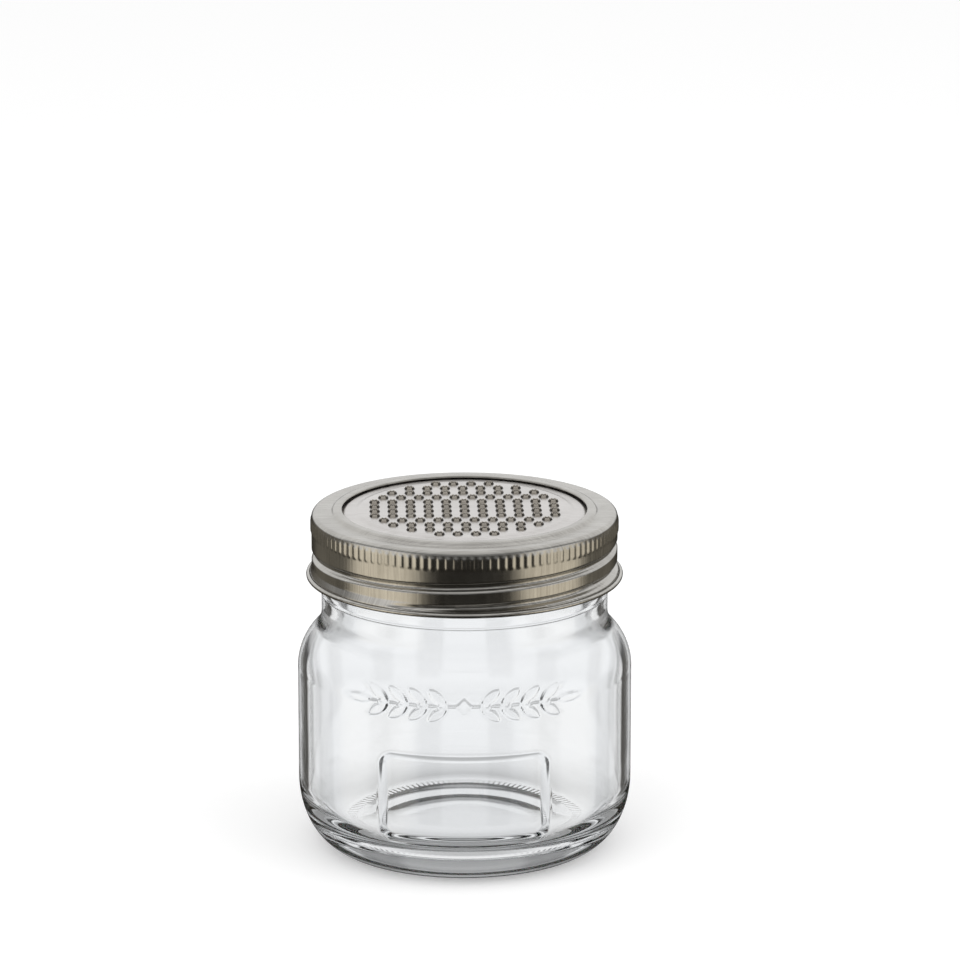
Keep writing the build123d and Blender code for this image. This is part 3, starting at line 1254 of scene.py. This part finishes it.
    def _places(self) -> list[Point]:
        """Sets out the holes in centred rows, each as long as the round field allows.

        Returns:
            The holes' centres in mm.
        """
        places: list[Point] = []
        turn = math.radians(self.turn_deg)
        for row in range(self.rows):
            up = (row - (self.rows - 1) / 2) * self.row_pitch
            count = math.floor(2 * math.sqrt(self.field_radius**2 - up**2) / self.pitch) + 1
            for column in range(count):
                across = (column - (count - 1) / 2) * self.pitch
                x = across * math.cos(turn) - up * math.sin(turn)
                y = across * math.sin(turn) + up * math.cos(turn)
                places.append((x, y))
        return places

    def _cutter(self) -> bpy.types.Object:
        """Makes a plain round punch that reaches through the sheet.

        Returns:
            The punch, over the middle of the disc.
        """
        deselect_everything()
        bpy.ops.mesh.primitive_cylinder_add(
            vertices=self.teeth * 2,
            radius=self.hole_radius * MM,
            depth=4 * self.thickness * MM,
            location=(0, 0, (self.plateau_top - self.thickness / 2) * MM),
        )
        punch = bpy.context.object
        bpy.ops.object.transform_apply(location=True, rotation=True, scale=True)
        return punch

    def _burr(self) -> bpy.types.Object:
        """Makes one torn burr: a thin cone that opens in a crown of small teeth.

        Returns:
            The burr, over the middle of the disc.
        """
        bulge, mouth, crest = (share * self.burr_height for share in self.burr_levels)
        rings = [
            (self.burr_root, -self.burr_sink),
            ((self.burr_root + self.burr_crest) / 2 + self.burr_bulge, bulge),
            (self.burr_crest, crest),
            (self.burr_mouth, mouth),
            (self.hole_radius + self.lining_gap, -self.thickness),
        ]
        deselect_everything()
        bpy.ops.mesh.primitive_circle_add(
            vertices=self.teeth * 2,
            radius=rings[0][0] * MM,
            fill_type="NOTHING",
            location=(0, 0, (self.plateau_top + rings[0][1]) * MM),
        )
        burr = bpy.context.object
        bpy.ops.object.transform_apply(location=True, rotation=True, scale=True)
        bpy.ops.object.mode_set(mode="EDIT")
        bpy.ops.mesh.select_all(action="SELECT")
        for old, new in zip(rings, rings[1:]):
            size = new[0] / old[0]
            bpy.ops.mesh.extrude_edges_move(
                TRANSFORM_OT_translate={"value": (0, 0, (new[1] - old[1]) * MM)}
            )
            bpy.ops.transform.resize(value=(size, size, 1), center_override=(0, 0, 0))
        bpy.ops.mesh.select_mode(type="EDGE")
        bpy.ops.mesh.select_all(action="DESELECT")
        bpy.ops.mesh.select_non_manifold()
        bpy.ops.mesh.bridge_edge_loops()
        bpy.ops.mesh.select_all(action="SELECT")
        bpy.ops.mesh.normals_make_consistent(inside=False)
        bpy.ops.mesh.select_mode(type="VERT")
        bpy.ops.object.mode_set(mode="OBJECT")
        places = points_of(burr) / MM
        angles = np.arctan2(places[:, 1], places[:, 0])
        high = places[:, 2] > self.plateau_top + self.burr_height * self.tooth_foot
        tooth = np.cos(self.teeth * angles)
        places[high, 2] += tooth[high] * self.burr_height * self.tooth_share
        move_points(burr, places * MM)
        return burr

    def _paint_shaded_ends(self, burrs: bpy.types.Object, places: Sequence[Point]) -> None:
        """Paints shade, as a dark colour, on the two sides of every burr where its arch is torn
        open.

        Args:
            burrs: the joined burrs, with the painted shade in their second slot.
            places: the holes' centres in mm.
        """
        centres = np.array(places)
        top = self.plateau_top + self.burr_height * self.painted_shade_top
        spread = math.tan(math.radians(self.painted_shade_half_deg))
        for face in burrs.data.polygons:
            middle = np.array(face.center[:2]) / MM
            x, y = middle - centres[np.argmin(np.hypot(*(centres - middle).T))]
            low = face.center[2] / MM < top
            if low and abs(y) < abs(x) * spread and math.hypot(x, y) > self.burr_crest:
                # These faces take the painted shade.
                face.material_index = 1

    def _rings(
        self, name: str, model: bpy.types.Object, places: Sequence[Point]
    ) -> bpy.types.Object:
        """Copies a small model to every hole and joins the copies.

        Args:
            name: the joined piece's name.
            model: the one that is copied.
            places: the holes' centres in mm.

        Returns:
            The joined piece.
        """
        copies: list[bpy.types.Object] = []
        for x, y in places:
            copy = model.copy()
            copy.data = model.data.copy()
            bpy.context.scene.collection.objects.link(copy)
            move_points(copy, points_of(copy) + np.array([x * MM, y * MM, 0]))
            copies.append(copy)
        bpy.data.objects.remove(model)
        deselect_everything()
        for copy in copies:
            copy.select_set(True)
        bpy.context.view_layer.objects.active = copies[0]
        bpy.ops.object.join()
        joined = bpy.context.object
        joined.name = joined.data.name = name
        return joined


@dataclass(frozen=True)
class Fade:
    """A smooth change from one number to another while a value crosses a range."""

    reach: Point
    ends: Point

    def settings(self) -> Settings:
        """Lists what a node needs to make the change.

        Returns:
            The values by property or input name.
        """
        return {
            "interpolation_type": "SMOOTHSTEP",
            "From Min": self.reach[0],
            "From Max": self.reach[1],
            "To Min": self.ends[0],
            "To Max": self.ends[1],
        }


@dataclass(frozen=True)
class Card:
    """A round card of the studio with a soft edge, seen only in reflections.

    Azimuth 0 is the camera's side and 90 is the right.
    """

    azimuth_deg: float
    elevation_deg: float
    half_width_deg: float
    softness_deg: float
    strength: float
    over_horizon: bool = False

    def direction(self) -> Triple:
        """The direction from the jar to the card's middle."""
        turn, rise = math.radians(self.azimuth_deg), math.radians(self.elevation_deg)
        return (math.sin(turn) * math.cos(rise), -math.cos(turn) * math.cos(rise), math.sin(rise))


@dataclass(frozen=True)
class Lamp:
    """A large soft lamp: its place in mm, its side in metres and its power in watts."""

    name: str
    place: Triple
    side: float
    power: float


@dataclass
class Studio:
    """The pale floor, the soft lamps, what stands round the jar, and the camera."""

    camera_place: Triple = (3.69, -1109.24, 385.33)
    camera_pitch_deg: float = 75.07
    camera_near: float = 0.05
    focal_pixels: float = 4829.0
    floor_side: float = 6.0
    floor_colour: str = "#E9E9E9"
    # The floor glows this much for the camera alone, so that it shows white beside the shadow.
    floor_glow: float = 0.3
    lamps: tuple[Lamp, ...] = (
        Lamp("key_lamp", (-420, -520, 900), 0.9, 3.0),
        Lamp("fill_lamp", (620, -300, 700), 0.9, 2.5),
    )
    ambient: float = 0.78
    # What the metal mirrors: a dark room with a dim front, a pale ceiling, a bright back, two
    # dim low cards behind the sides and two bright low ones before them.
    gloss_cards: tuple[Card, ...] = (
        Card(0, 25, 80, 14, 0.3, over_horizon=True),
        Card(-128, -8, 22, 9, 0.18),
        Card(128, -8, 22, 9, 0.18),
        Card(0, 90, 48, 14, 0.8),
        Card(180, 20, 75, 14, 1.0, over_horizon=True),
        Card(-64, -10, 28, 9, 1.1),
        Card(70, -10, 27, 9, 1.05),
    )
    gloss_base: float = 0.03
    horizon_fade: Fade = Fade((-0.04, 0.1), (0, 1))
    # What clear glass shows: a white tent with upright dark strips that draw the glass's edges.
    # The strips follow a wave round the jar, one either side of each diagonal, between two levels.
    strip_wave_deg: float = 90.0
    strip_fades: tuple[Fade, ...] = (Fade((0.48, 0.2), (0, 1)), Fade((-0.9, -0.68), (0, 0.94)))
    level_fades: tuple[Fade, ...] = (Fade((-0.5, -0.38), (0, 1)), Fade((-0.1, 0.06), (1, 0.25)))
    # The tent is darker above the horizon, and again well above and well below it.
    tent_fades: tuple[Fade, ...] = (
        Fade((-0.1, 0.05), (1.0, 0.55)),
        Fade((0.2, 0.4), (1.0, 0.8)),
        Fade((-0.42, -0.78), (1.0, 0.55)),
    )
    # The metal mirrors a warmer light from below the horizon.
    warm_fade: Fade = Fade((0.02, -0.12), (0, 1))
    warm_light: str = "#FFF5E0"
    light_bounces: int = 24

    def build(self) -> None:
        """Sets up the whole studio."""
        self._floor()
        for lamp in self.lamps:
            self._hang(lamp)
        self._world()
        self._camera()
        scene = bpy.context.scene
        scene.view_settings.view_transform = "Standard"
        scene.cycles.max_bounces = self.light_bounces
        scene.cycles.transmission_bounces = self.light_bounces
        scene.cycles.glossy_bounces = self.light_bounces

    def _floor(self) -> None:
        """Lays the pale floor, which shows white with the object's shadow on it."""
        deselect_everything()
        bpy.ops.mesh.primitive_plane_add(size=self.floor_side)
        floor = bpy.context.object
        floor.name = "studio_floor"
        # Matt painted board: an even white with no shine.
        material = empty_material("matt_white_board")
        tree = material.node_tree
        board = add_node(tree, "ShaderNodeBsdfDiffuse", {"Color": linear(self.floor_colour)}, {})
        path = add_node(tree, "ShaderNodeLightPath", {}, {})
        strength = add_node(
            tree,
            "ShaderNodeMath",
            {"operation": "MULTIPLY", 1: self.floor_glow},
            {0: path.outputs["Is Camera Ray"]},
        )
        glow = add_node(
            tree,
            "ShaderNodeEmission",
            {"Color": (1, 1, 1, 1)},
            {"Strength": strength.outputs[0]},
        )
        both = add_node(
            tree, "ShaderNodeAddShader", {}, {0: board.outputs[0], 1: glow.outputs[0]}
        )
        add_node(tree, "ShaderNodeOutputMaterial", {}, {"Surface": both.outputs[0]})
        floor.data.materials.append(material)
        floor.visible_glossy = False
        floor.visible_transmission = False

    def _hang(self, lamp: Lamp) -> None:
        """Hangs a lamp that faces the jar and is itself seen nowhere.

        Args:
            lamp: the lamp.
        """
        bpy.ops.object.light_add(type="AREA", location=tuple(v * MM for v in lamp.place))
        light = bpy.context.object
        light.name = lamp.name
        light.data.size = lamp.side
        light.data.energy = lamp.power
        aim = -light.location.normalized()
        light.rotation_euler = aim.to_track_quat("-Z", "Y").to_euler()
        light.visible_camera = light.visible_glossy = light.visible_transmission = False

    def _masked(
        self,
        tree: bpy.types.NodeTree,
        way: bpy.types.NodeSocket,
        under: bpy.types.NodeSocket | float,
        card: Card,
    ) -> bpy.types.NodeSocket:
        """Lays one card over what is behind it.

        Args:
            tree: the world's node tree.
            way: the direction looked in.
            under: the strength behind the card.
            card: the card.

        Returns:
            The strength with the card in place.
        """
        facing = add_node(
            tree,
            "ShaderNodeVectorMath",
            {"operation": "DOT_PRODUCT", 1: card.direction()},
            {0: way},
        )
        edge = (card.half_width_deg + card.softness_deg, card.half_width_deg - card.softness_deg)
        reach = tuple(math.cos(math.radians(angle)) for angle in edge)
        mask = add_node(
            tree,
            "ShaderNodeMapRange",
            Fade(reach, (0, 1)).settings(),
            {"Value": facing.outputs["Value"]},
        )
        if card.over_horizon:
            height = add_node(tree, "ShaderNodeSeparateXYZ", {}, {0: way}).outputs[2]
            over = add_node(
                tree,
                "ShaderNodeMapRange",
                self.horizon_fade.settings(),
                {"Value": height},
            )
            mask = add_node(
                tree,
                "ShaderNodeMath",
                {"operation": "MULTIPLY"},
                {0: mask.outputs[0], 1: over.outputs[0]},
            )
        settings = {"data_type": "FLOAT", 3: card.strength}
        links = {0: mask.outputs[0]}
        if isinstance(under, float):
            settings[2] = under
        else:
            links[2] = under
        return add_node(tree, "ShaderNodeMix", settings, links).outputs[0]

    def _clear_view(
        self, tree: bpy.types.NodeTree, axes: bpy.types.Node
    ) -> bpy.types.NodeSocket:
        """Makes what clear glass shows: a white tent with upright dark strips.

        Args:
            tree: the world's node tree.
            axes: the direction's three parts.

        Returns:
            The strength seen through glass.
        """
        turn = add_node(
            tree,
            "ShaderNodeMath",
            {"operation": "ARCTAN2"},
            {0: axes.outputs[1], 1: axes.outputs[0]},
        )
        wound = add_node(
            tree,
            "ShaderNodeMath",
            {"operation": "MULTIPLY", 1: 360 / self.strip_wave_deg},
            {0: turn.outputs[0]},
        )
        comb = add_node(tree, "ShaderNodeMath", {"operation": "COSINE"}, {0: wound.outputs[0]})
        height = axes.outputs[2]
        strips = [(fade, comb.outputs[0]) for fade in self.strip_fades]
        strips += [(fade, height) for fade in self.level_fades]
        dark = self._dimmed(tree, strips)
        bright = add_node(tree, "ShaderNodeMath", {"operation": "SUBTRACT", 0: 1.0}, {1: dark})
        tent = self._dimmed(tree, [(fade, height) for fade in self.tent_fades])
        return add_node(
            tree, "ShaderNodeMath", {"operation": "MULTIPLY"}, {0: tent, 1: bright.outputs[0]}
        ).outputs[0]

    def _dimmed(
        self, tree: bpy.types.NodeTree, steps: Sequence[tuple[Fade, bpy.types.NodeSocket]]
    ) -> bpy.types.NodeSocket:
        """Multiplies several fades.

        Args:
            tree: the world's node tree.
            steps: each fade with the value that it follows.

        Returns:
            The product.
        """
        product: bpy.types.NodeSocket | None = None
        for fade, value in steps:
            step = add_node(tree, "ShaderNodeMapRange", fade.settings(), {"Value": value})
            share = step.outputs[0]
            if product is not None:
                share = add_node(
                    tree, "ShaderNodeMath", {"operation": "MULTIPLY"}, {0: product, 1: share}
                ).outputs[0]
            product = share
        return product

    def _world(self) -> None:
        """Surrounds the jar: white for the camera, an even light, and the cards and the tent."""
        world = bpy.data.worlds.new("studio_surround")
        bpy.context.scene.world = world
        world.use_nodes = True
        tree = world.node_tree
        tree.nodes.clear()
        place = add_node(tree, "ShaderNodeTexCoord", {}, {})
        way = place.outputs["Generated"]
        axes = add_node(tree, "ShaderNodeSeparateXYZ", {}, {0: way})
        path = add_node(tree, "ShaderNodeLightPath", {}, {})
        gloss: bpy.types.NodeSocket | float = self.gloss_base
        for card in self.gloss_cards:
            gloss = self._masked(tree, way, gloss, card)
        clear = self._clear_view(tree, axes)
        strength = add_node(
            tree,
            "ShaderNodeMix",
            {"data_type": "FLOAT", 2: self.ambient},
            {0: path.outputs["Is Glossy Ray"], 3: gloss},
        )
        strength = add_node(
            tree,
            "ShaderNodeMix",
            {"data_type": "FLOAT"},
            {0: path.outputs["Is Transmission Ray"], 2: strength.outputs[0], 3: clear},
        )
        strength = add_node(
            tree,
            "ShaderNodeMix",
            {"data_type": "FLOAT", 3: 1.0},
            {0: path.outputs["Is Camera Ray"], 2: strength.outputs[0]},
        )
        low = add_node(
            tree, "ShaderNodeMapRange", self.warm_fade.settings(), {"Value": axes.outputs[2]}
        )
        # Rays through glass count as glossy too, and the warm light is kept out of them.
        mirrored = add_node(
            tree,
            "ShaderNodeMath",
            {"operation": "GREATER_THAN"},
            {0: path.outputs["Is Glossy Ray"], 1: path.outputs["Is Transmission Ray"]},
        )
        warm = add_node(
            tree,
            "ShaderNodeMath",
            {"operation": "MULTIPLY"},
            {0: low.outputs[0], 1: mirrored.outputs[0]},
        )
        colour = add_node(
            tree,
            "ShaderNodeMix",
            {"data_type": "RGBA", 6: (1, 1, 1, 1), 7: linear(self.warm_light)},
            {0: warm.outputs[0]},
        )
        light = add_node(
            tree,
            "ShaderNodeBackground",
            {},
            {"Color": colour.outputs[2], "Strength": strength.outputs[0]},
        )
        add_node(tree, "ShaderNodeOutputWorld", {}, {"Surface": light.outputs[0]})

    def _camera(self) -> None:
        """Stands the camera where the photograph was taken from."""
        bpy.ops.object.camera_add(
            location=tuple(v * MM for v in self.camera_place),
            rotation=(math.radians(self.camera_pitch_deg), 0, 0),
        )
        camera = bpy.context.object
        camera.name = "studio_camera"
        camera.data.sensor_width = SENSOR
        camera.data.lens = self.focal_pixels / IMAGE_WIDTH * SENSOR
        camera.data.clip_start = self.camera_near
        bpy.context.scene.camera = camera


def seat(piece: bpy.types.Object, body: Body, slot: Slot, *nodes: str) -> None:
    """Makes a piece ride on its body and stand for its solid.

    Args:
        piece: the finished piece.
        body: the body that it rides on.
        slot: the material slot for the piece's finish; not used.
        nodes: the solids that it stands for.
    """
    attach(piece, body.value)
    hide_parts(*nodes)
    log.info("%s rides on %s with %d faces", piece.name, body.value, len(piece.data.polygons))


def main() -> None:
    """Builds and dresses the jar, its band, its disc and its seal, then the studio."""
    logging.basicConfig(level=logging.INFO, format="%(name)s: %(message)s")
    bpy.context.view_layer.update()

    jar = GlassJar()
    glass = jar.build()
    jar.dress(glass)
    seat(glass, Body.JAR, Slot.GLASS, *GLASS_SOLIDS)

    band = ScrewBand()
    sheet = band.build()
    band.dress(sheet)
    seat(sheet, Body.BAND, Slot.BAND, "screw_band")

    disc = GraterDisc()
    plate, burrs = disc.build()
    disc.dress(plate, burrs)
    seat(plate, Body.INSERT, Slot.DISC, "grater_disc")
    seat(burrs, Body.INSERT, Slot.DISC, "grater_disc")

    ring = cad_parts["seal_ring"]
    ring.data.materials.clear()
    ring.data.materials.append(MouldedSilicone().make())
    log.info("seal_ring keeps its solid")

    Studio().build()


if __name__ == "__main__":
    main()
